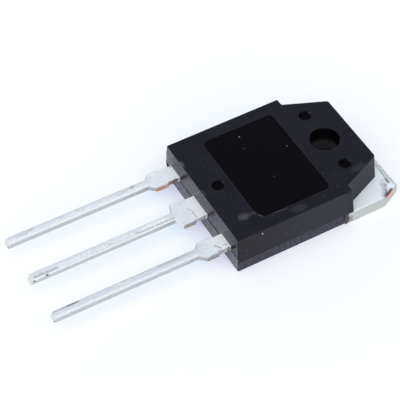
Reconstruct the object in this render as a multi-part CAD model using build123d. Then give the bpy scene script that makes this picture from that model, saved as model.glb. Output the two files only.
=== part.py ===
from build123d import *
from math import atan2, degrees, hypot, radians, tan
import os

# A three-lead power transistor in a flat moulded package, at real size in millimetres.
# Frame: the mounting hole's axis on the back face is the origin. +Z points out of the front
# face, +Y to the metal tab's end, and the leads leave towards -Y. The pins run left to right
# seen from the front with the leads down: base at -X, collector in the middle, emitter at +X.

# ------------------------------------------------------------------ driving sizes (mm)
# Moulded body: its outline is given at the parting line, where it is largest.
body_width = 15.66
body_height = 4.75
hole_to_lead_face = 15.12
hole_to_shoulder = 1.1          # where the full-width part ends, on the lead side of the hole
hole_to_nose_end = 3.56
nose_root_width = 13.7
nose_tip_width = 9.6
body_corner_radius = 0.12
nose_corner_radius = 0.4
upper_draft = 4.0               # degrees, on the sides and the nose
lower_draft = 2.0               # degrees, on the sides
end_draft = 0.8                 # degrees, on the lead end of both halves
upper_edge_radius = 0.1
lower_half_setback = 2.15       # the lower half stops this far on the lead side of the hole
mould_mismatch = 0.06           # the lower half's sides sit in this far
parting_groove_width = 0.16     # where the mould halves part, across the lead end
parting_groove_depth = 0.12
parting_riser_depth = 0.35      # the parting line climbs to the leads this far behind their face

# Mounting hole, with the plastic liner that insulates the screw from the tab.
screw_hole_diameter = 3.3
hole_rim_radius = 0.07
liner_wall = 0.65

# Marks that the mould leaves in the front face.
marking_width = 12.2
marking_length = 8.6
marking_from_lead_face = 3.52
marking_corner_radius = 0.6
marking_depth = 0.06
marking_edge_radius = 0.04
dimple_diameter = 1.4
dimple_depth = 0.3
dimple_spread = 8.0             # between the two dimples beside the hole
front_dimple_from_lead_face = 2.07

# Copper frame: a thick slug with the tab, and the thin strip that the leads are cut from.
# The tab is as wide as the body.
slug_thickness = 1.5
hole_to_tab_end = 5.0
tab_corner_run = 2.2           # length of the tab's cut corner, along its side
tab_corner_inset = 1.08         # width of the tab's cut corner, across its end
tab_end_bevel_length = 0.55
tab_end_bevel_drop = 0.16
tab_edge_radius = 0.08
pad_width = 13.2                # the part of the slug between the plastic sides, at the back
pad_from_lead_face = 3.3
lock_lip = 0.35                 # ledge round the pad that the plastic grips from below
lock_lip_thickness = 0.7
lock_groove_width = 0.8
lock_groove_depth = 0.3
lock_groove_from_lead_face = 11.9

# Leads.
lead_pitch = 5.45
lead_thickness = 0.6
lead_back_height = 2.05         # from the back face to the leads' lower surface
lead_width = 1.04
lead_length = 19.88             # from the body's end face to the tips
lead_row_offset = 0.17          # of all three leads, to the base side of the body's middle
lead_lean = 0.006               # to the base side as well, for each mm of length
outer_shoulder_width = 2.0
centre_shoulder_width = 3.0
dam_bar_from_body = 1.4
dam_bar_width = 1.4
dam_bar_stub = 0.15             # what the trimming tool leaves on each side of a shoulder
outer_taper_length = 0.65
centre_taper_length = 0.4
lead_tip_chamfer_width = 0.22
lead_tip_chamfer_length = 0.42
lead_edge_radius = 0.07
strip_bend_radius = 0.75        # on the middle of the strip's thickness
strip_rise_run = 1.15

# Bond posts: the inner ends of the base and emitter leads.
post_width = 3.1
post_depth = 1.9
post_neck_length = 0.9
post_shift = 0.55               # towards the middle of the body
post_corner_radius = 0.25

# Chip and its connections.
die_side = 5.2
die_thickness = 0.28
die_from_lead_face = 7.7        # to the die's centre
solder_thickness = 0.06
solder_fillet = 0.2             # the solder shows this far round the die
base_wire_diameter = 0.25
emitter_wire_diameter = 0.38
emitter_wire_spacing = 1.1
base_pad_offset = (-1.6, -1.6)  # on the die, from its centre
emitter_pad_offset = (1.2, -1.5)
loop_height = 1.15              # of a wire's top above the bond posts
wedge_length_factor = 2.4       # a wedge bond's length, in wire diameters
wedge_width_factor = 1.5
wedge_height_factor = 0.45
wire_sides = 8                  # the wires are eight-sided, which keeps their many bends light

# ------------------------------------------------------------------ derived places
lead_face_y = -hole_to_lead_face
shoulder_y = -hole_to_shoulder
nose_end_y = hole_to_nose_end
lower_end_y = -lower_half_setback
tab_end_y = hole_to_tab_end
end_spare = body_corner_radius  # cut off again when the lead end gets its own draft
slug_hole_diameter = screw_hole_diameter + 2 * liner_wall
lead_middle_z = lead_back_height + lead_thickness / 2
lead_top_z = lead_back_height + lead_thickness
pad_end_y = lead_face_y + pad_from_lead_face
die_y = lead_face_y + die_from_lead_face
die_bottom_z = slug_thickness + solder_thickness
die_top_z = die_bottom_z + die_thickness
post_y = lead_face_y + post_neck_length + post_depth / 2


def symmetric_outline(right_side):
    """Face whose right-hand corner points are given from bottom to top, mirrored to the left."""
    left_side = [(-x, y) for x, y in reversed(right_side)]
    return make_face(Polyline(*right_side, *left_side, close=True))


def rising_edges(solid):
    """Edges of a drafted block that run from one outline to the other."""
    return [e for e in solid.edges() if abs((e @ 1 - e @ 0).Z) > 0.5 * e.length]


def matching_edges(solid, wanted):
    """Edges of a solid that lie where the wanted edges were before it was changed."""
    return [e for e in solid.edges() if any((e.center() - w.center()).length < 0.01 for w in wanted)]


# ------------------------------------------------------------------ copper pieces
def lead_blank(shoulder_width, taper_length):
    """One lead outside the body: shoulder, trimmed dam bar, taper, narrow leg, chamfered tip."""
    half = shoulder_width / 2
    stub_half = half + dam_bar_stub
    leg_half = lead_width / 2
    dam_bar_near = lead_face_y - dam_bar_from_body
    dam_bar_far = dam_bar_near - dam_bar_width
    tip = lead_face_y - lead_length
    right_side = [
        (leg_half - lead_tip_chamfer_width, tip),
        (leg_half, tip + lead_tip_chamfer_length),
        (leg_half, dam_bar_far - taper_length),
        (stub_half, dam_bar_far),
        (stub_half, dam_bar_near),
        (half, dam_bar_near),
        (half, lead_face_y),
    ]
    both_sides = right_side + [(-x, y) for x, y in reversed(right_side)]
    leaning = [(x - lead_lean * (lead_face_y - y), y) for x, y in both_sides]
    blank = extrude(make_face(Polyline(*leaning, close=True)), lead_thickness)
    long_edges = blank.edges().filter_by(GeomType.LINE).filter_by(Axis.Z, reverse=True)
    rolled = [e for e in long_edges if e.center().Y < lead_face_y - lead_edge_radius]
    return Pos(0, 0, lead_back_height) * fillet(rolled, lead_edge_radius)


def post_x(side):
    """Where the middle of the base (side -1) or emitter (side +1) bond post is, across the body."""
    return side * (lead_pitch - post_shift) - lead_row_offset


def outer_lead(side):
    """Base (side -1) or emitter (side +1) lead with its bond post inside the body."""
    place = side * lead_pitch - lead_row_offset
    leg = Pos(place, 0, 0) * lead_blank(outer_shoulder_width, outer_taper_length)
    neck = Pos(place, lead_face_y + post_neck_length / 2, lead_middle_z) * Box(
        outer_shoulder_width, post_neck_length, lead_thickness
    )
    post = Pos(post_x(side), post_y, lead_back_height) * extrude(
        RectangleRounded(post_width, post_depth, post_corner_radius), lead_thickness
    )
    return leg + neck + post


def tab_outline():
    """The tab's outline: full width, with its two end corners cut off."""
    half = body_width / 2
    return symmetric_outline([
        (half, lower_end_y),
        (half, tab_end_y - tab_corner_run),
        (half - tab_corner_inset, tab_end_y),
    ])


def tab():
    """The thick end of the slug that stands out of the plastic."""
    plate = extrude(tab_outline(), slug_thickness)
    top_edges = plate.edges().group_by(Axis.Z)[-1]
    cut_edges = [e for e in top_edges if e.center().Y > lower_end_y + tab_edge_radius]
    side_edges = [e for e in cut_edges if e.center().Y < tab_end_y - tab_edge_radius]
    plate = fillet(side_edges, tab_edge_radius)
    bevel = Polyline(
        (tab_end_y - tab_end_bevel_length, slug_thickness),
        (tab_end_y, slug_thickness - tab_end_bevel_drop),
        (tab_end_y, slug_thickness),
        close=True,
    )
    wedge = extrude(Plane.YZ * make_face(bevel), body_width / 2, both=True)
    return plate - wedge


def pad():
    """The slug inside the body: die pad with a gripping ledge and a cross groove."""
    length = lower_end_y - pad_end_y
    middle_y = pad_end_y + length / 2
    plate = Pos(0, middle_y, slug_thickness / 2) * Box(pad_width, length, slug_thickness)
    lip = Pos(0, middle_y - lock_lip / 2, slug_thickness - lock_lip_thickness / 2) * Box(
        pad_width + 2 * lock_lip, length + lock_lip, lock_lip_thickness
    )
    groove_y = lead_face_y + lock_groove_from_lead_face
    groove = Polyline(
        (groove_y - lock_groove_width / 2, slug_thickness),
        (groove_y, slug_thickness - lock_groove_depth),
        (groove_y + lock_groove_width / 2, slug_thickness),
        close=True,
    )
    cutter = extrude(Plane.YZ * make_face(groove), pad_width / 2 + lock_lip, both=True)
    return plate + lip - cutter


def rising_strip():
    """Thin strip that climbs from the die pad's edge to the level of the leads."""
    low_z = slug_thickness - lead_thickness / 2
    start_y = pad_end_y
    foot_y = pad_end_y - lock_lip - strip_bend_radius / 2
    path = Pos(-lead_row_offset, 0, 0) * FilletPolyline(
        (0, start_y, low_z),
        (0, foot_y, low_z),
        (0, foot_y - strip_rise_run, lead_middle_z),
        (0, lead_face_y, lead_middle_z),
        radius=strip_bend_radius,
    )
    section = Plane(path @ 0, x_dir=(1, 0, 0), z_dir=path % 0) * Rectangle(
        centre_shoulder_width, lead_thickness
    )
    return sweep(section, path=path)


def collector_frame():
    """Slug, tab and centre lead, cut and bent from one piece of copper."""
    hole = Cylinder(slug_hole_diameter / 2, 2 * slug_thickness)
    slug = tab() + pad() - hole
    leg = Pos(-lead_row_offset, 0, 0) * lead_blank(centre_shoulder_width, centre_taper_length)
    return slug + rising_strip() + leg


# ------------------------------------------------------------------ chip and wires
def transistor_die():
    """The silicon chip."""
    return Pos(0, die_y, die_bottom_z + die_thickness / 2) * Box(die_side, die_side, die_thickness)


def die_solder():
    """Solder layer under the chip, a little larger than the chip."""
    side = die_side + 2 * solder_fillet
    return Pos(0, die_y, slug_thickness + solder_thickness / 2) * Box(side, side, solder_thickness)


def bond_wire(start, end, diameter):
    """Aluminium wire from the die to a post, with a flattened wedge bond at each end."""
    span = hypot(end[0] - start[0], end[1] - start[1])
    heading = degrees(atan2(end[1] - start[1], end[0] - start[0]))
    radius = diameter / 2
    foot = wedge_length_factor * diameter
    top_z = lead_top_z + loop_height
    path = FilletPolyline(
        (0, 0, die_top_z + radius),
        (foot, 0, die_top_z + radius),
        (foot + span / 5, 0, top_z),
        (span - foot - span / 8, 0, top_z),
        (span - foot, 0, lead_top_z + radius),
        (span, 0, lead_top_z + radius),
        radius=2 * diameter,
    )
    section = RegularPolygon(
        radius, wire_sides, major_radius=False, rotation=180 / wire_sides
    )
    wire = sweep(Plane(path @ 0, z_dir=path % 0) * section, path=path)
    wedge = extrude(
        Rectangle(2 * foot, wedge_width_factor * diameter), wedge_height_factor * diameter
    )
    wire = wire + Pos(0, 0, die_top_z) * wedge + Pos(span, 0, lead_top_z) * wedge
    return Location((start[0], start[1], 0), (0, 0, heading)) * wire


def base_wire():
    """The single wire from the die's base pad to the base post."""
    start = (base_pad_offset[0], die_y + base_pad_offset[1])
    return bond_wire(start, (post_x(-1), post_y), base_wire_diameter)


def emitter_wire(index):
    """One of the two parallel wires from the die's emitter pad to the emitter post."""
    shift = (index - 0.5) * emitter_wire_spacing
    start = (emitter_pad_offset[0] + shift, die_y + emitter_pad_offset[1])
    return bond_wire(start, (post_x(1) + shift, post_y), emitter_wire_diameter)


# ------------------------------------------------------------------ moulded case
def beyond_end(level, draft):
    """All that lies past the lead end's drafted face; the draft's sign says which way it leans."""
    reach = 2 * body_height
    block = Box(2 * body_width, reach, 2 * reach, align=(Align.CENTER, Align.MAX, Align.CENTER))
    return Pos(0, lead_face_y, level) * Rot(X=draft) * block


def upper_half():
    """The thick front half of the moulding, drafted from the parting line to the front face."""
    half = body_width / 2
    outline = symmetric_outline([
        (half, lead_face_y - end_spare),
        (half, shoulder_y),
        (nose_root_width / 2, shoulder_y),
        (nose_tip_width / 2, nose_end_y),
    ])
    block = extrude(
        Pos(0, 0, slug_thickness) * outline, body_height - slug_thickness, taper=upper_draft
    )
    block -= beyond_end(lead_back_height, -end_draft)
    corners = rising_edges(block)
    nose_corners = [e for e in corners if e.center().Y > (shoulder_y + nose_end_y) / 2]
    body_corners = [e for e in corners if e.center().Y < (shoulder_y + nose_end_y) / 2]
    block = fillet(nose_corners, nose_corner_radius)
    block = fillet(matching_edges(block, body_corners), body_corner_radius)
    block = fillet(block.edges().group_by(Axis.Z)[-1], upper_edge_radius)
    riser = lead_back_height - slug_thickness
    relief = Pos(0, lead_face_y, slug_thickness + riser / 2) * Box(
        2 * body_width, 2 * parting_riser_depth, riser
    )
    return block - relief


def lower_half():
    """The thin back half, its sides a little inside the upper one, as deep as the leads."""
    half = body_width / 2 - mould_mismatch
    outline = symmetric_outline([(half, lead_face_y - end_spare), (half, lower_end_y)])
    slab = extrude(
        Pos(0, 0, lead_back_height) * outline, lead_back_height, dir=(0, 0, -1), taper=lower_draft
    )
    slab -= beyond_end(lead_back_height, end_draft)
    lead_corners = [e for e in rising_edges(slab) if e.center().Y < lead_face_y + end_spare]
    slab = fillet(lead_corners, body_corner_radius)
    draft_run = lead_back_height * tan(radians(lower_draft))
    fill = Pos(0, lower_end_y - draft_run / 2, slug_thickness / 2) * Box(
        pad_width, draft_run, slug_thickness
    )
    return slab + fill


def parting_groove():
    """Shallow groove across the lead end, where the two mould halves meet between the leads."""
    return Pos(0, lead_face_y, lead_back_height) * Box(
        2 * body_width, 2 * parting_groove_depth, parting_groove_width
    )


def with_marking_field(case):
    """The case with the shallow field for its marking, whose upper edge is slightly rounded."""
    middle_y = lead_face_y + marking_from_lead_face + marking_length / 2
    field = RectangleRounded(marking_width, marking_length, marking_corner_radius)
    case -= Pos(0, middle_y, body_height - marking_depth) * extrude(field, marking_depth)
    across = marking_width / 2 + marking_edge_radius
    along = marking_length / 2 + marking_edge_radius
    rim = case.edges().group_by(Axis.Z)[-1]
    rim = rim.filter_by_position(Axis.X, -across, across)
    rim = rim.filter_by_position(Axis.Y, middle_y - along, middle_y + along)
    return fillet(rim, marking_edge_radius)


def molded_case(inserts):
    """The one-piece moulding, with the exact places of everything moulded into it."""
    liner = extrude(Circle(slug_hole_diameter / 2), slug_thickness)
    case = upper_half() + lower_half() + liner - parting_groove()
    bore = Pos(0, 0, body_height / 2) * Cylinder(screw_hole_diameter / 2, 2 * body_height)
    case -= bore
    rim = case.edges().filter_by(GeomType.CIRCLE).group_by(Axis.Z)[-1]
    rim = [e for e in rim if abs(e.radius - screw_hole_diameter / 2) < 0.001]
    case = fillet(rim, hole_rim_radius)
    case = with_marking_field(case)
    dimple = extrude(Circle(dimple_diameter / 2), dimple_depth)
    places = [
        (-dimple_spread / 2, 0),
        (dimple_spread / 2, 0),
        (0, lead_face_y + front_dimple_from_lead_face),
    ]
    for x, y in places:
        case -= Pos(x, y, body_height - dimple_depth) * dimple
    for insert in inserts:
        case -= insert
    return case


# ------------------------------------------------------------------ build and write
inner = {
    "collector_frame": collector_frame(),
    "base_lead": outer_lead(-1),
    "emitter_lead": outer_lead(1),
    "die_solder": die_solder(),
    "transistor_die": transistor_die(),
    "base_bond_wire": base_wire(),
    "emitter_bond_wire_a": emitter_wire(0),
    "emitter_bond_wire_b": emitter_wire(1),
}
nodes = {"molded_case": molded_case(list(inner.values())), **inner}

os.makedirs("parts", exist_ok=True)
for name, shape in nodes.items():
    export_step(shape, "parts/" + name + ".step")
    print(name, len(shape.solids()), "solid(s)", round(shape.volume, 4), "mm3")
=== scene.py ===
"""Looks of a three-lead power transistor lying on its back: finishes, small pieces, light and camera.

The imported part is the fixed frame: its origin is the screw hole's axis on the back face, +Z points
out of the front face, +Y towards the metal tab's end, and the leads leave towards -Y. Lengths in the
classes below are millimetres, and MM turns them into the frame's metres.
"""

import logging
import math
from abc import ABC, abstractmethod
from dataclasses import dataclass
from enum import Enum
from functools import reduce

import bmesh
import bpy
from mathutils import Matrix, Vector


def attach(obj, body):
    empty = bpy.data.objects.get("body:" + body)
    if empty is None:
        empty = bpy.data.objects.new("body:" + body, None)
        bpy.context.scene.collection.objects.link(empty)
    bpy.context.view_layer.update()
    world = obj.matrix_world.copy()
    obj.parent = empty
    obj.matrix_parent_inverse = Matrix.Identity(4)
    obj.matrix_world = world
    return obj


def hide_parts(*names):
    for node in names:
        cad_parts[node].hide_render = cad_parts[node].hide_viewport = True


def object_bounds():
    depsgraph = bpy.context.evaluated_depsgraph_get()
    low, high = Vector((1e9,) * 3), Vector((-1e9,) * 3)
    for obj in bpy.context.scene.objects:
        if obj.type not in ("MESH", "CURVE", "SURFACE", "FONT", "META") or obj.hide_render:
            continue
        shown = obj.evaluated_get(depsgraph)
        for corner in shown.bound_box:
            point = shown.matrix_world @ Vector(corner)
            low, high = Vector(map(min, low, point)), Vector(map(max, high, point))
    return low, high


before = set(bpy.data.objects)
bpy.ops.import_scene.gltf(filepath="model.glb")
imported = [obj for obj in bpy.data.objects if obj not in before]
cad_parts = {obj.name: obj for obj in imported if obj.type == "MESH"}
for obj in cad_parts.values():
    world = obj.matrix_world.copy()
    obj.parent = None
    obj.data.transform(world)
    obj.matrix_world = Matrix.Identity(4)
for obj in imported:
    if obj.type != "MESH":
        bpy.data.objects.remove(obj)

CAD_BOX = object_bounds()
MM = 0.001
BODY = "root"
LOG = logging.getLogger("power_transistor")

WHITE = (1.0, 1.0, 1.0)
# The black of painted shade.
SHADE_BLACK = (0.001, 0.001, 0.001)
LEAD_FACE = -15.12
LEAD_LEAN = 0.006
LEAD_BOTTOM = 2.05
LEAD_TOP = 2.65

Socket = bpy.types.NodeSocket
Sockets = dict[str, Socket]
Colour = tuple[float, float, float]
Point = tuple[float, float, float]
Span = tuple[float, float]


# ------------------------ node trees
class Graph:
    """A node tree being built, with short calls for the nodes that it uses most."""

    number_results = ("LENGTH", "DISTANCE", "DOT_PRODUCT")

    def __init__(self, tree: bpy.types.NodeTree) -> None:
        """Starts on a tree.

        Args:
            tree: the shader or geometry node tree to add to.
        """
        self.tree = tree

    def feed(self, socket: Socket, value: object) -> None:
        """Links a socket to another one, or sets its constant.

        Args:
            socket: the input to feed.
            value: an output socket, or the constant.
        """
        if isinstance(value, bpy.types.NodeSocket):
            self.tree.links.new(value, socket)
        elif socket.type == "RGBA" and len(value) == 3:
            socket.default_value = (*value, 1.0)
        else:
            socket.default_value = value

    def node(self, kind: str, inputs: dict | None = None, **settings: object) -> bpy.types.Node:
        """Adds one node.

        Args:
            kind: the node's type name.
            inputs: values or sockets by input name or index.
            settings: the node's own properties.

        Returns:
            The new node.
        """
        made = self.tree.nodes.new(kind)
        for name, value in settings.items():
            setattr(made, name, value)
        for key, value in (inputs or {}).items():
            self.feed(made.inputs[key], value)
        return made

    def math(self, operation: str, *values: object) -> Socket:
        """One Math node's result.

        Args:
            operation: the node's operation.
            values: its inputs in order, sockets or constants.

        Returns:
            The output socket.
        """
        return self.node("ShaderNodeMath", dict(enumerate(values)), operation=operation).outputs[0]

    def vector(self, operation: str, *values: object) -> Socket:
        """One Vector Math node's result, a number or a vector as the operation gives; see Graph.math."""
        made = self.node("ShaderNodeVectorMath", dict(enumerate(values)), operation=operation)
        return made.outputs["Value" if operation in self.number_results else "Vector"]

    def scaled(self, vector: Socket, factor: object) -> Socket:
        """A vector or a colour times a number."""
        return self.node("ShaderNodeVectorMath", {0: vector, "Scale": factor}, operation="SCALE").outputs[0]

    def ramp(self, value: object, low: object, high: object, start: float = 0.0, end: float = 1.0) -> Socket:
        """A smooth step from start, where the value is low, to end, where it is high.

        Args:
            value: the value read.
            low: the value at which the step begins.
            high: the value at which it ends; it may be under low.
            start: the result at low.
            end: the result at high.

        Returns:
            The output socket.
        """
        inputs = {"Value": value, "From Min": low, "From Max": high, "To Min": start, "To Max": end}
        return self.node("ShaderNodeMapRange", inputs, interpolation_type="SMOOTHSTEP").outputs[0]

    def mix(self, share: object, first: object, second: object) -> Socket:
        """A colour between two others.

        Args:
            share: 0 for the first colour, 1 for the second.
            first: socket or colour.
            second: socket or colour.

        Returns:
            The colour socket.
        """
        return self.node("ShaderNodeMix", {0: share, 6: first, 7: second}, data_type="RGBA").outputs[2]

    def layered(self, colour: object, *layers: tuple[object, object]) -> Socket:
        """A colour with others laid over it in turn.

        Args:
            colour: the lowest colour.
            layers: pairs of a share from 0 to 1 and a colour.

        Returns:
            The colour socket.
        """
        return reduce(lambda under, layer: self.mix(layer[0], under, layer[1]), layers, colour)

    def lerp(self, share: object, first: object, second: object) -> Socket:
        """A number between two others; see Graph.mix."""
        return self.node("ShaderNodeMix", {0: share, 2: first, 3: second}, data_type="FLOAT").outputs[0]

    def noise(self, position: Socket, scale: object, detail: float = 2.0, roughness: float = 0.5) -> Socket:
        """Noise between about 0.3 and 0.7.

        Args:
            position: where it is read.
            scale: features per unit.
            detail: octaves.
            roughness: strength of the finer octaves.

        Returns:
            The value socket.
        """
        inputs = {"Vector": position, "Scale": scale, "Detail": detail, "Roughness": roughness}
        return self.node("ShaderNodeTexNoise", inputs).outputs[0]

    def wandering(self, position: Socket, scale: object, detail: float, reach: object) -> Socket:
        """A small shift that wanders from place to place.

        Args:
            position: where it is read.
            scale: features per unit.
            detail: octaves.
            reach: how far it goes.

        Returns:
            The vector socket.
        """
        drift = self.node("ShaderNodeTexNoise", {"Vector": position, "Scale": scale, "Detail": detail})
        return self.scaled(self.vector("SUBTRACT", drift.outputs["Color"], (0.5, 0.5, 0.5)), reach)

    def millimetres(self) -> Socket:
        """Object coordinates in millimetres."""
        return self.scaled(self.node("ShaderNodeTexCoord").outputs["Object"], 1 / MM)

    def parts_of(self, vector: Socket) -> tuple[Socket, Socket, Socket]:
        """The three components of a vector."""
        return tuple(self.node("ShaderNodeSeparateXYZ", {0: vector}).outputs)

    def facing(self) -> tuple[Socket, Socket, Socket]:
        """The components of the surface's own direction, in object axes."""
        return self.parts_of(self.node("ShaderNodeTexCoord").outputs["Normal"])

    def from_axis(self, place: Socket) -> Socket:
        """The distance from the screw hole's axis."""
        return self.vector("LENGTH", self.vector("MULTIPLY", place, (1.0, 1.0, 0.0)))

    def size_of(self, value: Socket) -> Socket:
        """A number without its sign."""
        return self.math("ABSOLUTE", value)

    def inverse(self, mask: Socket) -> Socket:
        """One minus a mask."""
        return self.math("SUBTRACT", 1.0, mask)

    def largest(self, *masks: Socket) -> Socket:
        """The largest of several masks."""
        return reduce(lambda first, second: self.math("MAXIMUM", first, second), masks)

    def product(self, *masks: object) -> Socket:
        """The product of several masks."""
        return reduce(lambda first, second: self.math("MULTIPLY", first, second), masks)

    def between(self, value: Socket, low: float, high: float, blur: float) -> Socket:
        """A mask that is 1 between two values and fades over blur at each.

        Args:
            value: the value read.
            low: the lower limit.
            high: the upper limit.
            blur: the width of each fade.

        Returns:
            The mask socket.
        """
        rises = self.ramp(value, low - blur / 2, low + blur / 2)
        return self.product(rises, self.ramp(value, high + blur / 2, high - blur / 2))

    def effect(self, effect: "Effect", **inputs: object) -> Sockets:
        """Places a shared effect in this tree.

        Args:
            effect: the shared effect.
            inputs: values or sockets by the group's input names.

        Returns:
            The group's outputs by name.
        """
        return dict(self.node("ShaderNodeGroup", inputs, node_tree=effect.tree()).outputs.items())

    def bump(self, height: Socket, depth: float, distance: float) -> Socket:
        """A normal from a height.

        Args:
            height: the height socket.
            depth: strength from 0 to 1.
            distance: height of a full step, in millimetres.

        Returns:
            The normal socket.
        """
        inputs = {"Strength": depth, "Distance": distance * MM, "Height": height}
        return self.node("ShaderNodeBump", inputs).outputs[0]

    def principled(self, colour: Socket, rough: Socket, normal: Socket, **others: object) -> bpy.types.Node:
        """The usual surface shader.

        Args:
            colour: its base colour.
            rough: its roughness.
            normal: its normal.
            others: more inputs by name, with _ for each space.

        Returns:
            The shader node.
        """
        more = {name.replace("_", " "): value for name, value in others.items()}
        inputs = {"Base Color": colour, "Roughness": rough, "Normal": normal, **more}
        return self.node("ShaderNodeBsdfPrincipled", inputs)


# ------------------------ shared effects
class SocketKind(Enum):
    """Socket types of a node group's interface."""

    NUMBER = "NodeSocketFloat"
    VECTOR = "NodeSocketVector"
    GEOMETRY = "NodeSocketGeometry"
    WHOLE = "NodeSocketInt"
    MATERIAL = "NodeSocketMaterial"


SocketKinds = dict[str, SocketKind]


def add_sockets(tree: bpy.types.NodeTree, direction: str, sockets: SocketKinds) -> None:
    """Gives a node group its named inputs or outputs.

    Args:
        tree: the group's tree.
        direction: INPUT or OUTPUT.
        sockets: kind by name.
    """
    for name, kind in sockets.items():
        tree.interface.new_socket(name=name, in_out=direction, socket_type=kind.value)


def vectors(*names: str) -> SocketKinds:
    """Vector sockets of the given names."""
    return dict.fromkeys(names, SocketKind.VECTOR)


def numbers(*names: str) -> SocketKinds:
    """Number sockets of the given names."""
    return dict.fromkeys(names, SocketKind.NUMBER)


class Effect(ABC):
    """A shader node group that several finishes share, built once, on its first use."""

    title: str
    takes: SocketKinds
    gives: SocketKinds = numbers("Mask")

    def tree(self) -> bpy.types.ShaderNodeTree:
        """The group's tree, which is built if it isn't there yet."""
        found = bpy.data.node_groups.get(self.title)
        if found is not None:
            return found
        tree = bpy.data.node_groups.new(self.title, "ShaderNodeTree")
        add_sockets(tree, "INPUT", self.takes)
        add_sockets(tree, "OUTPUT", self.gives)
        graph = Graph(tree)
        source = graph.node("NodeGroupInput").outputs
        results = self.wire(graph, *(source[name] for name in self.takes))
        graph.node("NodeGroupOutput", results)
        return tree

    @abstractmethod
    def wire(self, graph: Graph, *given: Socket) -> Sockets:
        """Builds the nodes inside the group.

        Args:
            graph: the group's graph.
            given: the group's inputs, in the order of takes.

        Returns:
            The group's outputs by name.
        """


class Grain(Effect):
    """Fine uneven texture: a height for bumps and a slow drift of tone."""

    title = "surface_grain"
    takes = vectors("Position") | numbers("Grains", "Drift")
    gives = numbers("Height", "Tone")

    def wire(self, graph: Graph, place: Socket, grains: Socket, drift: Socket) -> Sockets:
        """Builds the group; see Effect.wire."""
        fine = graph.noise(place, grains, 3.0, 0.6)
        slow = graph.noise(place, drift, 4.0, 0.55)
        return {"Height": graph.lerp(0.25, fine, slow), "Tone": graph.ramp(slow, 0.3, 0.7)}


class EdgeMask(Effect):
    """1 on the edges of a shape and 0 on its flat faces."""

    title = "edge_mask"
    takes = numbers("Radius", "Threshold")

    def wire(self, graph: Graph, radius: Socket, threshold: Socket) -> Sockets:
        """Builds the group; see Effect.wire."""
        rounded = graph.node("ShaderNodeBevel", {"Radius": radius}, samples=6).outputs[0]
        own = graph.node("ShaderNodeNewGeometry").outputs["Normal"]
        turned = graph.inverse(graph.vector("DOT_PRODUCT", rounded, own))
        return {"Mask": graph.ramp(turned, 0.0, threshold)}


class Spot(Effect):
    """A ragged patch about a point."""

    title = "ragged_spot"
    takes = vectors("Position", "Centre", "Radius") | numbers("Ragged", "Detail")

    def wire(
        self, graph: Graph, place: Socket, centre: Socket, radius: Socket, ragged: Socket, detail: Socket
    ) -> Sockets:
        """Builds the group; see Effect.wire."""
        offset = graph.vector("SUBTRACT", place, centre)
        distance = graph.vector("LENGTH", graph.vector("DIVIDE", offset, radius))
        noise = graph.noise(place, detail, 3.0, 0.6)
        wander = graph.product(graph.math("SUBTRACT", noise, 0.5), ragged)
        return {"Mask": graph.ramp(graph.math("ADD", distance, wander), 1.1, 0.7)}


class Streak(Effect):
    """A thin wandering line between two points, as a scratch or a scrape leaves it."""

    title = "streak"
    takes = vectors("Position", "Start", "End") | numbers("Width", "Wander")

    def wire(
        self, graph: Graph, place: Socket, start: Socket, end: Socket, width: Socket, wander: Socket
    ) -> Sockets:
        """Builds the group; see Effect.wire."""
        moved = graph.vector("ADD", place, graph.wandering(place, 1.6, 3.0, wander))
        run = graph.vector("SUBTRACT", end, start)
        out = graph.vector("SUBTRACT", moved, start)
        along = graph.vector("DOT_PRODUCT", out, run)
        share = graph.math("DIVIDE", along, graph.vector("DOT_PRODUCT", run, run))
        held = graph.math("MINIMUM", graph.math("MAXIMUM", share, 0.0), 1.0)
        gap = graph.vector("DISTANCE", out, graph.scaled(run, held))
        breaks = graph.ramp(graph.noise(place, 3.0, 3.0), 0.35, 0.55, 0.35, 1.0)
        core = graph.math("MULTIPLY", width, 0.2)
        return {"Mask": graph.product(graph.ramp(gap, width, core), breaks)}


class Flecks(Effect):
    """Scattered small dots that cover a share of the surface."""

    title = "flecks"
    takes = vectors("Position") | numbers("Cells", "Share")

    def wire(self, graph: Graph, place: Socket, cells: Socket, share: Socket) -> Sockets:
        """Builds the group; see Effect.wire."""
        cell = graph.node("ShaderNodeTexVoronoi", {"Vector": place, "Scale": cells}).outputs
        chosen = graph.math("LESS_THAN", graph.parts_of(cell["Color"])[0], share)
        return {"Mask": graph.product(chosen, graph.ramp(cell["Distance"], 0.32, 0.12))}


GRAIN, EDGES, SPOT, STREAK, FLECKS = Grain(), EdgeMask(), Spot(), Streak(), Flecks()


# ------------------------ clouds and local marks
@dataclass(frozen=True)
class Cloud:
    """Uneven areas: noise that is cut softly between two levels."""

    scale: float
    detail: float
    roughness: float
    low: float
    high: float
    stretch: Point = WHITE

    def mask(self, graph: Graph, place: Socket) -> Socket:
        """Where the areas are.

        Args:
            graph: the material's graph.
            place: Object coordinates in millimetres.

        Returns:
            The mask socket.
        """
        if self.stretch != WHITE:
            place = graph.vector("MULTIPLY", place, self.stretch)
        return graph.ramp(graph.noise(place, self.scale, self.detail, self.roughness), self.low, self.high)


@dataclass(frozen=True)
class Mark(ABC):
    """A blemish at one place on a surface, in a colour of its own."""

    colour: Colour
    strength: float

    @abstractmethod
    def mask(self, graph: Graph, place: Socket) -> Socket:
        """Where the mark is; see Cloud.mask."""

    def layer(self, graph: Graph, place: Socket) -> tuple[Socket, Colour]:
        """The share and the colour to lay over a surface; see Cloud.mask."""
        return graph.product(self.mask(graph, place), self.strength), self.colour


@dataclass(frozen=True)
class Patch(Mark):
    """A ragged patch: a scuff, a stain or a chipped place."""

    centre: Point
    reach: Point
    ragged: float = 0.6
    detail: float = 5.0

    def mask(self, graph: Graph, place: Socket) -> Socket:
        """Where the patch is; see Cloud.mask."""
        form = {"Centre": self.centre, "Radius": self.reach, "Ragged": self.ragged, "Detail": self.detail}
        return graph.effect(SPOT, Position=place, **form)["Mask"]


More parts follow.
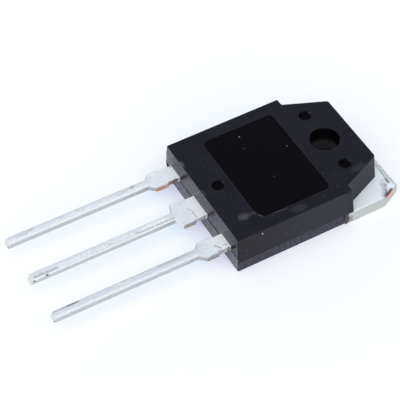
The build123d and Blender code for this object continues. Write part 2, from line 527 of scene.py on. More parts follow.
@dataclass(frozen=True)
class Scrape(Mark):
    """A thin wandering line: a scratch, a scrape or a worn edge."""

    start: Point
    end: Point
    width: float = 0.1
    wander: float = 0.15

    def mask(self, graph: Graph, place: Socket) -> Socket:
        """Where the line is; see Cloud.mask."""
        form = {"Start": self.start, "End": self.end, "Width": self.width, "Wander": self.wander}
        return graph.effect(STREAK, Position=place, **form)["Mask"]


# ------------------------ marks of this part
FRONT_MARKS: tuple[Mark, ...] = (
    Patch((0.34, 0.35, 0.4), 0.9, (7.62, -12.18, 4.28), (0.1, 0.1, 0.17)),
    Patch((0.075, 0.075, 0.09), 0.9, (-4.45, -14.85, 4.72), (0.5, 0.2, 0.2), 1.0, 6.0),
    Patch((0.058, 0.058, 0.08), 0.75, (5.05, -12.9, 4.75), (0.5, 0.62, 0.2), 2.4, 9.0),
    Scrape((0.055, 0.055, 0.075), 0.6, (5.05, -13.2, 4.75), (5.1, -11.6, 4.75), 0.32, 0.6),
    Scrape((0.12, 0.12, 0.15), 0.7, (5.0, -13.1, 4.75), (5.25, -12.6, 4.75), 0.1, 0.4),
    # Pale lines at the marking recess's corner and along its near edge: painted highlight.
    Scrape((0.3, 0.31, 0.36), 0.85, (5.45, -11.47, 4.75), (5.95, -11.17, 4.75), 0.1, 0.1),
    Scrape((0.09, 0.09, 0.12), 0.7, (5.95, -11.17, 4.75), (6.3, -8.5, 4.75), 0.08),
    Patch((0.045, 0.045, 0.055), 0.7, (0.2, -14.85, 4.72), (0.5, 0.16, 0.2), 1.6, 7.0),
    Patch((0.035, 0.036, 0.046), 0.6, (6.9, -7.4, 4.72), (0.5, 0.9, 0.2), 2.2, 8.0),
    Patch((0.24, 0.24, 0.27), 0.8, (-4.87, -7.67, 4.69), (0.1, 0.09, 0.1)),
    Patch((0.2, 0.2, 0.23), 0.8, (-1.2, -3.95, 4.69), (0.07, 0.07, 0.1)),
    Scrape((0.035, 0.036, 0.046), 0.6, (7.55, -14.9, 4.6), (7.6, -13.7, 4.65), 0.08, 0.1),
    Patch((0.018, 0.016, 0.02), 0.7, (2.5, -15.1, 3.6), (0.55, 0.1, 1.1), 0.9, 4.0),
    Scrape((0.04, 0.04, 0.05), 0.6, (4.3, 2.3, 4.72), (5.6, -0.2, 4.72), 0.1, 0.25),
    Patch((0.03, 0.031, 0.042), 0.55, (5.25, 0.9, 4.75), (0.45, 1.1, 0.2), 1.4, 6.0),
    Patch((0.022, 0.022, 0.028), 0.6, (-5.6, -15.1, 3.6), (0.9, 0.2, 1.3), 0.6, 4.0),
    Patch((0.022, 0.022, 0.028), 0.6, (5.8, -15.1, 3.6), (0.8, 0.2, 1.3), 0.6, 4.0),
)
# Painted shade and reflection on the moulding: shade in the lower far corner of the lead end, in the parting
# groove between the leads and in the corner beside the tab, and dark reflections of the leads' near sides
# running up the lead end.
PAINTED_SHADOWS_AND_REFLECTIONS: tuple[Mark, ...] = (
    Patch(SHADE_BLACK, 0.95, (-7.6, -15.1, 2.0), (0.5, 0.3, 0.32), 0.4),
    Scrape(SHADE_BLACK, 0.95, (-3.3, -15.1, 2.06), (-1.75, -15.1, 2.06), 0.18, 0.0),
    Scrape(SHADE_BLACK, 0.95, (2.3, -15.1, 2.06), (4.1, -15.1, 2.06), 0.18, 0.0),
    Scrape(SHADE_BLACK, 0.95, (-4.35, -15.1, 2.7), (-3.2, -15.08, 4.3), 0.24, 0.1),
    Scrape((0.004, 0.004, 0.005), 0.7, (1.58, -15.1, 2.8), (2.6, -15.08, 4.3), 0.2, 0.1),
    Scrape(SHADE_BLACK, 0.95, (6.5, -15.1, 2.65), (7.1, -15.1, 3.5), 0.24, 0.1),
    Scrape(SHADE_BLACK, 0.9, (7.8, -2.36, 0.1), (7.8, -2.36, 1.45), 0.1, 0.0),
)


def lead_line(
    tone: Colour, strength: float, begin: Span, end: Span, *form: float, level: float = LEAD_TOP
) -> Scrape:
    """A line on the leads' top.

    Args:
        tone: its colour.
        strength: its share.
        begin: where it begins, across and along the leads.
        end: where it ends.
        form: how wide it is and how far it wanders.
        level: its height.

    Returns:
        The mark.
    """
    return Scrape(tone, strength, (*begin, level), (*end, level), *form)


def lead_spot(tone: Colour, strength: float, place: Span, reach: Span, *form: float) -> Patch:
    """A patch on the leads' top; place and reach are given across and along, the rest as for Patch."""
    return Patch(tone, strength, (*place, LEAD_TOP), (*reach, 0.1), *form)


def side_stain(tone: Colour, strength: float, place: Point, reach: Span, *form: float) -> Patch:
    """A patch on a cut side; reach is given along and up, the rest as for Patch."""
    return Patch(tone, strength, place, (0.2, *reach), *form)


PLATING_MARKS: tuple[Mark, ...] = (
    lead_line((0.42, 0.43, 0.45), 0.8, (-0.35, -16.55), (0.15, -16.2), 0.1, 0.2),
    lead_line((0.34, 0.35, 0.37), 0.8, (0.25, -16.35), (1.1, -16.2), 0.09, 0.3),
    lead_line((0.36, 0.37, 0.39), 0.8, (5.45, -16.5), (5.95, -16.1), 0.14, 0.2),
    lead_line((0.3, 0.31, 0.33), 0.8, (5.75, -15.75), (5.78, -15.14), 0.08, 0.15),
    lead_line((0.4, 0.41, 0.43), 0.7, (-6.2, -16.2), (-5.2, -15.6), 0.07, 0.3),
    Patch((0.46, 0.47, 0.49), 0.8, (-5.95, -20.2, 2.62), (0.24, 0.42, 0.1), 0.9, 4.0),
    Patch((0.6, 0.63, 0.66), 0.6, (-5.93, -33.0, 2.62), (0.28, 1.3, 0.1), 0.9, 3.5),
    Patch((0.66, 0.69, 0.73), 0.6, (-5.8, -21.4, 2.62), (0.35, 0.9, 0.1), 0.8, 3.5),
    Patch((0.98, 0.99, 1.0), 0.7, (-0.35, -20.4, 2.62), (0.3, 1.8, 0.1), 0.6, 3.5),
    Patch((0.98, 0.99, 1.0), 0.3, (5.0, -27.0, 2.62), (0.35, 1.2, 0.1), 0.6, 3.5),
    lead_spot((0.14, 0.14, 0.15), 0.8, (-6.42, -15.27), (0.12, 0.12), 0.8, 6.0),
    Scrape((0.26, 0.27, 0.29), 0.85, (2.6, 4.48, 1.5), (6.3, 4.28, 1.5), 0.15, 0.35),
    Patch((0.66, 0.69, 0.72), 0.7, (5.3, 4.6, 1.5), (1.7, 0.24, 0.2), 1.1),
    Patch((0.24, 0.25, 0.27), 0.8, (5.95, 4.22, 1.5), (0.5, 0.17, 0.1), 1.1),
    Scrape((0.36, 0.37, 0.39), 0.75, (-6.0, 4.6, 1.45), (6.8, 4.74, 1.42), 0.18, 0.3),
    Scrape((0.52, 0.52, 0.6), 0.75, (5.9, 3.75, 1.5), (7.6, 2.95, 1.5), 0.55, 0.5),
    Scrape((0.24, 0.24, 0.26), 0.85, (6.4, 3.75, 1.5), (7.45, 3.1, 1.5), 0.16, 0.5),
    lead_line((0.44, 0.47, 0.48), 0.85, (0.01, -18.3), (0.01, -22.4), 0.13, 0.0),
    lead_line((0.64, 0.67, 0.7), 0.8, (0.1, -23.0), (0.07, -30.8), 0.12, 0.04),
    lead_line((0.44, 0.45, 0.46), 0.85, (-0.1, -31.8), (-0.16, -34.3), 0.26, 0.22),
    lead_line((0.55, 0.56, 0.58), 0.8, (0.02, -32.2), (0.26, -33.1), 0.12, 0.1),
    lead_spot((0.5, 0.51, 0.53), 0.7, (-0.14, -25.7), (0.1, 0.32), 0.9, 6.0),
    lead_spot((0.46, 0.47, 0.48), 0.7, (-0.09, -22.6), (0.12, 0.3), 0.9, 6.0),
    lead_spot((0.56, 0.56, 0.62), 0.7, (-6.03, -31.9), (0.12, 0.45), 0.9, 6.0),
    lead_spot((0.54, 0.54, 0.6), 0.7, (-5.91, -28.5), (0.12, 0.3), 0.9, 6.0),
    lead_spot((0.54, 0.54, 0.6), 0.7, (-5.91, -26.6), (0.12, 0.25), 0.9, 6.0),
    lead_spot((0.48, 0.49, 0.51), 0.7, (4.8, -26.6), (0.12, 0.4), 0.9, 6.0),
    lead_spot((0.52, 0.54, 0.56), 0.7, (5.15, -27.5), (0.08, 0.25), 0.9, 6.0),
    # Bright lines along the leads' near edges: painted highlight.
    lead_line((0.99, 1.0, 1.0), 0.9, (0.23, -18.4), (0.17, -34.6), 0.13, 0.03),
    lead_line((0.99, 1.0, 1.0), 0.9, (-5.3, -18.6), (-5.39, -34.6), 0.13, 0.04),
    lead_line((0.97, 0.98, 1.0), 0.9, (5.58, -18.6), (5.48, -34.6), 0.14, 0.04),
    # Darker lines along the leads' far edges: painted shade.
    lead_line((0.46, 0.48, 0.49), 0.8, (-6.11, -18.8), (-6.22, -34.4), 0.08, 0.03, level=2.63),
    lead_line((0.5, 0.53, 0.54), 0.7, (-0.68, -18.8), (-0.78, -34.4), 0.08, 0.03, level=2.63),
    lead_line((0.38, 0.4, 0.41), 0.8, (4.77, -18.8), (4.67, -34.4), 0.1, 0.03, level=2.63),
    lead_spot((0.2, 0.21, 0.21), 0.9, (4.79, -32.5), (0.13, 0.85), 0.5, 4.0),
    lead_line((0.4, 0.42, 0.42), 0.8, (4.8, -34.5), (4.8, -33.2), 0.1, 0.05),
    lead_line((0.46, 0.49, 0.5), 0.75, (4.94, -22.8), (4.97, -19.5), 0.2, 0.06),
    Patch((0.12, 0.12, 0.12), 0.9, (0.22, -34.49, 2.5), (0.14, 0.15, 0.13), 0.4, 6.0),
    Patch((0.14, 0.14, 0.14), 0.9, (0.22, -33.03, 2.6), (0.14, 0.2, 0.13), 0.4, 6.0),
    Patch((0.83, 0.42, 0.36), 0.95, (7.38, 3.75, 0.98), (0.4, 0.66, 0.5), 0.4, 4.0),
    side_stain((0.72, 0.46, 0.28), 0.8, (7.66, 3.25, 1.15), (0.28, 0.35)),
    Scrape((0.07, 0.012, 0.01), 0.98, (7.25, 3.98, 1.42), (7.74, 2.98, 1.42), 0.38, 0.05),
    # Darker patches on the tab's side next to the moulding, a line of painted shadow under the moulding's
    # overhang, and a dark line along the bottom edge.
    side_stain((0.16, 0.14, 0.12), 0.6, (7.83, -1.55, 0.55), (0.42, 0.5), 1.2, 4.5),
    side_stain((0.045, 0.04, 0.038), 0.97, (7.83, -2.0, 0.75), (0.36, 1.1), 0.5),
    Scrape((0.02, 0.02, 0.02), 0.9, (7.83, -2.3, 1.5), (7.83, -1.3, 1.5), 0.11, 0.05),
    Scrape((0.16, 0.16, 0.16), 0.8, (7.83, -1.6, 0.02), (7.83, -0.2, 0.02), 0.1, 0.05),
    # Bright lines across each lead's top where it leaves the moulding: painted highlight.
    *(
        lead_line(WHITE, 0.95, (far, -15.17), (near, -15.17), 0.09, 0.0)
        for far, near in ((-6.55, -4.7), (-1.6, 1.25), (4.35, 6.2))
    ),
    *(
        Patch((0.95, 0.95, 0.92), 0.95, (across, -15.25, 2.15), (0.15, 0.13, 0.11), 0.4, 6.0)
        for across in (-4.62, 1.33, 6.28)
    ),
    side_stain((0.74, 0.7, 0.66), 0.95, (1.33, -16.25, 2.35), (0.26, 0.4), 0.5),
    Patch((0.14, 0.14, 0.14), 0.9, (-5.38, -34.85, 2.2), (0.14, 0.2, 0.12), 0.5, 6.0),
    Patch((0.14, 0.14, 0.14), 0.9, (5.52, -34.85, 2.2), (0.12, 0.2, 0.12), 0.5, 6.0),
    side_stain((0.58, 0.56, 0.5), 0.75, (-4.47, -16.85, 2.42), (0.25, 0.26), 0.8),
    side_stain((0.42, 0.26, 0.24), 0.95, (-4.62, -16.3, 2.35), (0.24, 0.4), 0.5),
    side_stain((0.22, 0.16, 0.15), 0.95, (-4.62, -15.72, 2.35), (0.38, 0.4), 0.5),
    side_stain((0.2, 0.2, 0.21), 0.8, (6.28, -15.35, 2.35), (0.26, 0.4), 0.5),
    side_stain((0.38, 0.39, 0.41), 0.8, (6.28, -16.35, 2.35), (0.48, 0.45), 0.5),
    side_stain((0.24, 0.24, 0.25), 0.5, (6.43, -17.2, 2.35), (0.7, 0.45), 0.8),
)


# ------------------------ finishes
@dataclass(frozen=True)
class Finish(ABC):
    """A procedural surface finish."""

    title: str

    def material(self) -> bpy.types.Material:
        """The finish's material, which is built if it isn't there yet."""
        found = bpy.data.materials.get(self.title)
        if found is not None:
            return found
        material = bpy.data.materials.new(self.title)
        material.use_nodes = True
        material.node_tree.nodes.clear()
        graph = Graph(material.node_tree)
        graph.node("ShaderNodeOutputMaterial", {"Surface": self.dress(graph).outputs[0]})
        return material

    @abstractmethod
    def dress(self, graph: Graph) -> bpy.types.Node:
        """Builds the material's nodes.

        Args:
            graph: the material's graph.

        Returns:
            The surface shader node.
        """


@dataclass(frozen=True)
class MouldedEpoxy(Finish):
    """Black glass-filled epoxy: grained in front, smoother on its sides and in its sunk marks."""

    title: str = "moulded_epoxy"
    black: Colour = (0.005, 0.005, 0.0078)
    cast: Colour = (0.0085, 0.0085, 0.013)
    sunk_black: Colour = (0.002, 0.0018, 0.0024)
    # Painted reflection and shade: the sides are darker towards the lead end, paler in the middle and bluer
    # at the nose.
    side_shade: Colour = (0.0022, 0.002, 0.0036)
    side_sheen: Colour = (0.011, 0.0112, 0.0165)
    nose_side_sheen: Colour = (0.004, 0.0052, 0.0125)
    # Painted shade in the screw bore, paler low down as a painted reflection of the table.
    bore: Colour = (0.0006, 0.0006, 0.0008)
    deep_bore_reflection: Colour = (0.066, 0.063, 0.07)
    lower_half: Colour = (0.029, 0.028, 0.039)
    # Painted reflection and shade on the lead end: paler than the front, paler and bluer at the far corner,
    # darker at the near corner and paler below the parting line.
    lead_end: Colour = (0.047, 0.043, 0.054)
    far_end_reflection: Colour = (0.07, 0.074, 0.112)
    near_lead_end: Colour = (0.018, 0.016, 0.021)
    lower_lead_end: Colour = (0.088, 0.082, 0.094)
    # Painted shade in the parting line on the sides.
    seam_shade_colour: Colour = (0.002, 0.002, 0.002)
    rubbed: Colour = (0.04, 0.042, 0.052)
    dust: Colour = (0.22, 0.23, 0.26)
    dust_share: float = 0.16
    dust_cells: float = 2.2
    dust_cover: float = 0.02
    tint: Colour = (0.8, 0.78, 1.0)
    ior: float = 1.37
    front_roughness: Span = (0.38, 0.44)
    side_roughness: float = 0.42
    end_roughness: float = 0.26
    sunk_roughness: float = 0.2
    matt_roughness: float = 0.9
    grains_per_mm: float = 9.0
    drift: float = 0.35
    grain_relief: Span = (0.6, 0.012)
    sunk_relief: float = 0.12
    edge_radius: float = 0.12
    edge_threshold: float = 0.25
    wall_facing: Span = (0.45, 0.2)
    end_facing: Span = (-0.8, -0.95)
    top_facing: Span = (0.7, 0.9)
    floor_blur: float = 0.02
    seam_blur: float = 0.04
    field_floor: Span = (4.66, 4.72)
    dimple_floor: Span = (4.5, 4.48)
    bore_wall: Span = (1.76, 1.72)
    bore_depths: Span = (3.3, 2.4)
    seam: Span = (1.4, 1.5)
    below_seam: Span = (1.52, 1.48)
    below_end_seam: Span = (2.07, 2.03)
    sheen_from: Span = (-14.5, -5.0)
    nose_from: Span = (-2.4, -1.6)
    far_from: Span = (-5.4, -7.2)
    near_from: Span = (5.6, 7.0)
    worn_share: float = 0.5
    worn: Cloud = Cloud(1.1, 5.0, 0.65, 0.47, 0.62)
    mottled: Cloud = Cloud(1.9, 4.0, 0.7, 0.38, 0.62)
    speckled: Cloud = Cloud(3.0, 4.0, 0.7, 0.37, 0.63)
    speckle: Span = (0.4, 1.6)
    marks: tuple[Mark, ...] = FRONT_MARKS
    # Painted shade and reflection.
    painted_shades: tuple[Mark, ...] = PAINTED_SHADOWS_AND_REFLECTIONS

    def dress(self, graph: Graph) -> bpy.types.Node:
        """Builds the material's nodes; see Finish.dress."""
        place = graph.millimetres()
        across, along, height = graph.parts_of(place)
        _, back, up = graph.facing()
        wall = graph.ramp(graph.size_of(up), *self.wall_facing)
        end = graph.ramp(back, *self.end_facing)
        floors = graph.largest(
            graph.between(height, *self.field_floor, self.floor_blur),
            graph.ramp(height, *self.dimple_floor),
        )
        sunk = graph.product(floors, graph.ramp(up, *self.top_facing))
        # A thin line of painted shade along the parting line on the sides.
        at_seam = graph.between(height, *self.seam, self.seam_blur)
        seam = graph.product(at_seam, wall, graph.inverse(end))
        below = graph.product(wall, graph.ramp(height, *self.below_seam))
        grain = graph.effect(GRAIN, Position=place, Grains=self.grains_per_mm, Drift=self.drift)
        edges = graph.effect(EDGES, Radius=self.edge_radius * MM, Threshold=self.edge_threshold)["Mask"]
        dots = graph.effect(FLECKS, Position=place, Cells=self.dust_cells, Share=self.dust_cover)["Mask"]
        mottle = graph.product(self.mottled.mask(graph, place), 0.5)

        front_tone = graph.mix(graph.math("MULTIPLY_ADD", grain["Tone"], 0.5, mottle), self.black, self.cast)
        # Painted reflection and shade on the sides.
        painted_side_light = graph.layered(
            self.side_shade,
            (graph.ramp(along, *self.sheen_from), self.side_sheen),
            (graph.ramp(along, *self.nose_from), self.nose_side_sheen),
        )
        # Painted reflection and shade on the lead end.
        painted_end_light = graph.layered(
            self.lead_end,
            (graph.ramp(across, *self.far_from), self.far_end_reflection),
            (graph.ramp(across, *self.near_from), self.near_lead_end),
            (graph.ramp(height, *self.below_end_seam), self.lower_lead_end),
        )
        # Painted shade in the screw bore and a painted reflection low in it.
        bore_shade_and_reflection = graph.mix(graph.ramp(height, *self.bore_depths), self.bore, self.deep_bore_reflection)
        colour = graph.layered(front_tone, (wall, painted_side_light), (below, self.lower_half), (end, painted_end_light))
        spread = graph.lerp(self.speckled.mask(graph, place), *self.speckle)
        colour = graph.layered(
            colour,
            (graph.largest(end, below), graph.scaled(colour, spread)),
            (graph.ramp(graph.from_axis(place), *self.bore_wall), bore_shade_and_reflection),
            (sunk, self.sunk_black),
            (seam, self.seam_shade_colour),
            (graph.product(edges, self.worn.mask(graph, place), self.worn_share), self.rubbed),
            (graph.product(dots, self.dust_share), self.dust),
            *(mark.layer(graph, place) for mark in self.marks + self.painted_shades),
        )

        matt = graph.largest(seam, *(mark.mask(graph, place) for mark in self.painted_shades))
        rough = graph.lerp(grain["Tone"], *self.front_roughness)
        rough = graph.lerp(wall, rough, graph.lerp(end, self.side_roughness, self.end_roughness))
        rough = graph.lerp(sunk, rough, self.sunk_roughness)
        rough = graph.lerp(matt, rough, self.matt_roughness)
        relief = graph.product(grain["Height"], graph.lerp(sunk, 1.0, self.sunk_relief))
        normal = graph.bump(relief, *self.grain_relief)
        return graph.principled(colour, rough, normal, IOR=self.ior, Specular_Tint=self.tint)


@dataclass(frozen=True)
class TinPlate(Finish):
    """Matt tin on copper: pale on top, grey on sheared sides, copper and stains where it was cut."""

    title: str = "tin_plate"
    tin: Colour = (0.93, 0.95, 0.98)
    cool_tin: Colour = (0.85, 0.91, 0.96)
    # For blotches, and as painted shade on the far half of each lead's top.
    dull_tin_and_shade: Colour = (0.66, 0.69, 0.76)
    root_tin: Colour = (0.97, 0.99, 1.0)
    tab_tin: Colour = (0.92, 0.97, 1.0)
    flaked_tin: Colour = (0.64, 0.67, 0.7)
    tip_tin: Colour = (0.7, 0.73, 0.72)
    tab_side: Colour = (0.525, 0.55, 0.53)
    sheared_tin: Colour = (0.485, 0.513, 0.525)
    emitter_side: Colour = (0.43, 0.46, 0.48)
    root_side: Colour = (0.3, 0.31, 0.33)
    # Painted highlight along the near half of each lead's top.
    edge_highlight_tin: Colour = (0.98, 0.99, 1.0)
    # For the drawn lines, and as painted shade on the leads' far-facing edges.
    tarnish_and_edge_shade: Colour = (0.36, 0.37, 0.38)
    copper: Colour = (0.62, 0.3, 0.19)
    tan_copper: Colour = (0.52, 0.36, 0.23)
    brown: Colour = (0.1, 0.065, 0.045)
    ior: float = 1.5
    metallic: float = 0.12
    roughness: Span = (0.5, 0.62)
    grains_per_mm: float = 7.0
    drift: float = 0.8
    line_relief: float = -0.3
    relief: Span = (0.5, 0.01)
    pitch: float = 5.45
    middle: float = -0.17
    outer: Span = (3.0, 3.2)
    inner: Span = (3.0, 2.8)
    tab: Span = (-3.2, -3.0)
    bar: Span = (-18.0, -16.45)
    bar_blur: float = 0.12
    behind_bar: Span = (-16.55, -15.35)
    behind_blur: float = 0.2
    past_bar: Span = (-16.45, -16.55)
    lead_from: Span = (-15.05, -15.35)
    low_edge: Span = (2.35, 2.19)
    flat_top: Span = (0.5, 0.9)
    cut_facing: Span = (0.2, 0.75)
    wall_facing: Span = (0.6, 0.3)
    end_facing: Span = (-0.4, -0.8)
    far_edge: Span = (-0.9, -0.2)
    far_edge_blur: float = 0.15
    rooted: Span = (-17.4, -15.3)
    chalky_root: Span = (-17.4, -15.8)
    chalky_tab: Span = (3.2, 1.0)
    shoulder: Span = (-18.4, -17.4)
    narrow: Span = (-17.8, -18.6)
    emitter_from: Span = (-17.4, -18.6)
    dark_side_from: Span = (-21.5, -17.8)
    tip: Span = (-34.4, -34.5)
    far_half: Span = (0.1, -0.45)
    near_half: Span = (-0.1, 0.32)
    far_shade_share: float = 0.5
    highlight_share: float = 0.8
    blotch_share: float = 0.6
    line_shares: Span = (0.2, 0.07)
    cut_share: float = 0.92
    flake_shares: Span = (0.5, 0.1)
    tip_share: float = 0.85
    far_edge_share: float = 0.75
    emitter_copper: float = 0.12
    faint_stain: float = 0.12
    line_stain: float = 0.6
    torn: Cloud = Cloud(3.5, 4.0, 0.7, 0.36, 0.56)
    stained: Cloud = Cloud(2.6, 4.0, 0.65, 0.36, 0.6)
    flaked: Cloud = Cloud(1.0, 4.0, 0.65, 0.4, 0.62, (4.5, 2.4, 4.5))
    drawn: Cloud = Cloud(1.0, 4.0, 0.6, 0.52, 0.68, (9.0, 0.9, 9.0))
    blotched: Cloud = Cloud(1.0, 5.0, 0.65, 0.5, 0.66, (2.6, 0.7, 2.6))
    marks: tuple[Mark, ...] = PLATING_MARKS

    def copper_faces(self, graph: Graph, place: Socket, side: Socket) -> tuple[Socket, Socket, Socket]:
        """Where the cut sides of the shoulders show copper, and where they are stained.

        Args:
            graph: the material's graph.
            place: Object coordinates in millimetres.
            side: the surface direction's part across the leads.

        Returns:
            The masks of the whole cut sides, the copper and the brown stain.
        """
        across, along, height = graph.parts_of(place)
        sheared = graph.ramp(graph.size_of(side), *self.cut_facing)
        on_lead = graph.ramp(along, *self.lead_from)
        emitter = graph.ramp(across, *self.outer)
        base = graph.product(graph.ramp(graph.size_of(across), *self.outer), graph.inverse(emitter))
        low = graph.ramp(height, *self.low_edge)
        on_bar = graph.between(along, *self.bar, self.bar_blur)
        whole = graph.largest(low, graph.product(base, self.torn.mask(graph, place)))
        copper = graph.product(sheared, on_bar, whole, graph.lerp(emitter, 1.0, self.emitter_copper))
        behind = graph.between(along, *self.behind_bar, self.behind_blur)
        stained = self.stained.mask(graph, place)
        stain = graph.product(sheared, behind, stained, graph.lerp(base, self.faint_stain, 1.0))
        line = graph.product(sheared, on_bar, low, emitter, self.line_stain)
        return graph.product(sheared, on_lead), copper, graph.largest(stain, line)

    def lead_shade_and_highlight(self, graph: Graph, across: Socket, along: Socket) -> list[tuple[Socket, Colour]]:
        """Painted shade on the far half and painted highlight on the near half of each lead's top.

        Args:
            graph: the material's graph.
            across: the place across the leads.
            along: the place along them.

        Returns:
            The layers to lay over the tin.
        """
        leant = graph.math("MULTIPLY_ADD", along, -LEAD_LEAN, across)
        shifted = graph.math("SUBTRACT", leant, self.middle - LEAD_FACE * LEAD_LEAN)
        offset = graph.math("WRAP", shifted, self.pitch / 2, -self.pitch / 2)
        narrow = graph.ramp(along, *self.narrow)
        return [
            (graph.product(narrow, graph.ramp(offset, *self.far_half), self.far_shade_share), self.dull_tin_and_shade),
            (graph.product(narrow, graph.ramp(offset, *self.near_half), self.highlight_share), self.edge_highlight_tin),
        ]

    def dress(self, graph: Graph) -> bpy.types.Node:
        """Builds the material's nodes; see Finish.dress."""
        place = graph.millimetres()
        across, along, _ = graph.parts_of(place)
        side, back, up = graph.facing()
        grain = graph.effect(GRAIN, Position=place, Grains=self.grains_per_mm, Drift=self.drift)
        flakes, lines, blotches = (
            cloud.mask(graph, place) for cloud in (self.flaked, self.drawn, self.blotched)
        )
        sheared, copper, stain = self.copper_faces(graph, place, side)
        on_tab = graph.ramp(along, *self.tab)
        on_lead = graph.inverse(on_tab)
        flat_top = graph.ramp(up, *self.flat_top)
        # Painted shade on the leads' far-facing rounded edges.
        far_edge = graph.product(graph.between(side, *self.far_edge, self.far_edge_blur), on_lead)
        emitter = graph.product(graph.ramp(along, *self.emitter_from), graph.ramp(across, *self.outer))
        near_bar = graph.product(graph.ramp(along, *self.dark_side_from), graph.ramp(along, *self.past_bar))
        cut_tone = graph.mix(
            near_bar, graph.mix(emitter, self.sheared_tin, self.emitter_side), self.root_side
        )
        tab_wall = graph.product(on_tab, graph.ramp(graph.size_of(up), *self.wall_facing))
        wide = graph.largest(on_tab, graph.ramp(along, *self.shoulder))
        flake_share = graph.lerp(wide, *self.flake_shares)
        tip = graph.product(graph.ramp(back, *self.end_facing), graph.ramp(along, *self.tip))
        inner = graph.ramp(graph.size_of(across), *self.inner)
        colour = graph.layered(
            graph.mix(grain["Tone"], self.tin, self.cool_tin),
            (graph.product(graph.largest(blotches, emitter), on_lead, self.blotch_share), self.dull_tin_and_shade),
            *self.lead_shade_and_highlight(graph, across, along),
            (graph.product(on_lead, graph.ramp(along, *self.rooted)), self.root_tin),
            (graph.product(on_tab, flat_top), self.tab_tin),
            (graph.product(lines, graph.lerp(on_tab, *self.line_shares)), self.tarnish_and_edge_shade),
            (graph.product(sheared, self.cut_share), cut_tone),
            (tab_wall, self.tab_side),
            (graph.product(flakes, flake_share), self.flaked_tin),
            (graph.product(tip, self.tip_share), self.tip_tin),
            (graph.product(far_edge, self.far_edge_share), self.tarnish_and_edge_shade),
            (stain, self.brown),
            (copper, graph.mix(inner, self.copper, self.tan_copper)),
            *(mark.layer(graph, place) for mark in self.marks),
        )

        chalky = graph.largest(
            graph.product(on_lead, graph.ramp(along, *self.chalky_root)),
            graph.product(on_tab, graph.ramp(along, *self.chalky_tab)),
        )
        metal = graph.lerp(graph.product(chalky, flat_top), self.metallic, 0.0)
        rough = graph.lerp(grain["Tone"], *self.roughness)
        relief = graph.math("ADD", grain["Height"], graph.product(lines, self.line_relief))
        normal = graph.bump(relief, *self.relief)
        return graph.principled(colour, rough, normal, Metallic=metal, IOR=self.ior)


@dataclass(frozen=True)
class Grained(Finish):
    """A plain finish with a fine grain, paler and darker from place to place."""

    dark: Colour
    pale: Colour
    roughness: Span
    metallic: float = 1.0
    grains_per_mm: float = 12.0
    drift: float = 2.0
    relief: Span = (0.4, 0.008)

    def tone(self, graph: Graph, place: Socket, share: Socket) -> Socket:
        """The colour.

        Args:
            graph: the material's graph.
            place: Object coordinates in millimetres.
            share: 0 where it is dark, 1 where it is pale.

        Returns:
            The colour socket.
        """
        return graph.mix(share, self.dark, self.pale)

    def dress(self, graph: Graph) -> bpy.types.Node:
        """Builds the material's nodes; see Finish.dress."""
        place = graph.millimetres()
        grain = graph.effect(GRAIN, Position=place, Grains=self.grains_per_mm, Drift=self.drift)
        colour = self.tone(graph, place, grain["Tone"])
        rough = graph.lerp(grain["Tone"], *self.roughness)
        normal = graph.bump(grain["Height"], *self.relief)
        return graph.principled(colour, rough, normal, Metallic=self.metallic)


@dataclass(frozen=True)
class AgedCopper(Grained):
    """Grained copper that has turned brown on the emitter's side."""

    aged: Colour = (0.24, 0.21, 0.18)
    aged_from: Span = (3.0, 3.3)

    def tone(self, graph: Graph, place: Socket, share: Socket) -> Socket:
        """The colour; see Grained.tone."""
        aged = graph.ramp(graph.parts_of(place)[0], *self.aged_from)
        return graph.layered(self.dark, (share, self.pale), (aged, self.aged))


@dataclass(frozen=True)
class StudioPaper(Finish):
    """White table sheet with a soft shadow, bluer away from the moulding; clear from below."""

    title: str = "studio_paper"
    bounce: Colour = (0.82, 0.82, 0.82)
    shaded: Colour = (0.68, 0.45, 0.16)
    close_shaded: Colour = (0.77, 0.76, 0.5)
    # Painted shade under the screw hole.
    hole_shade_grey: Colour = (0.42, 0.42, 0.45)
    body_half: float = 7.83
    close_to_body: Span = (3.5, 0.3)
    hole: Span = (2.5, 2.4)
    hole_glow: float = 0.04
    open_light: float = 0.94

    def dress(self, graph: Graph) -> bpy.types.Node:
        """Builds the material's nodes; see Finish.dress."""
        place = graph.millimetres()
        across, along, _ = graph.parts_of(place)
        past_side = graph.math("SUBTRACT", graph.size_of(across), self.body_half)
        gap = graph.largest(past_side, graph.math("SUBTRACT", LEAD_FACE, along))
        tone = graph.mix(graph.ramp(gap, *self.close_to_body), self.shaded, self.close_shaded)
        # Painted shade on the table under the screw hole: grey, with almost none of its glow.
        hole_shade_share = graph.ramp(graph.vector("LENGTH", place), *self.hole)
        rest = graph.vector("SUBTRACT", WHITE, graph.scaled(tone, self.open_light))
        glow_inputs = {"Color": rest, "Strength": graph.lerp(hole_shade_share, 1.0, self.hole_glow)}
        shadow = graph.node("ShaderNodeBsdfDiffuse", {"Color": graph.mix(hole_shade_share, tone, self.hole_shade_grey)})
        glow = graph.node("ShaderNodeEmission", glow_inputs)
        seen = graph.node("ShaderNodeAddShader", {0: shadow.outputs[0], 1: glow.outputs[0]})
        plain = graph.node("ShaderNodeBsdfDiffuse", {"Color": self.bounce})
        rays = graph.node("ShaderNodeLightPath").outputs
        looked_at = graph.largest(rays["Is Camera Ray"], rays["Is Glossy Ray"], rays["Is Transmission Ray"])
        sheet = graph.node("ShaderNodeMixShader", {0: looked_at, 1: plain.outputs[0], 2: seen.outputs[0]})
        from_below = graph.node("ShaderNodeNewGeometry").outputs["Backfacing"]
        clear = graph.node("ShaderNodeBsdfTransparent")
        return graph.node("ShaderNodeMixShader", {0: from_below, 1: sheet.outputs[0], 2: clear.outputs[0]})


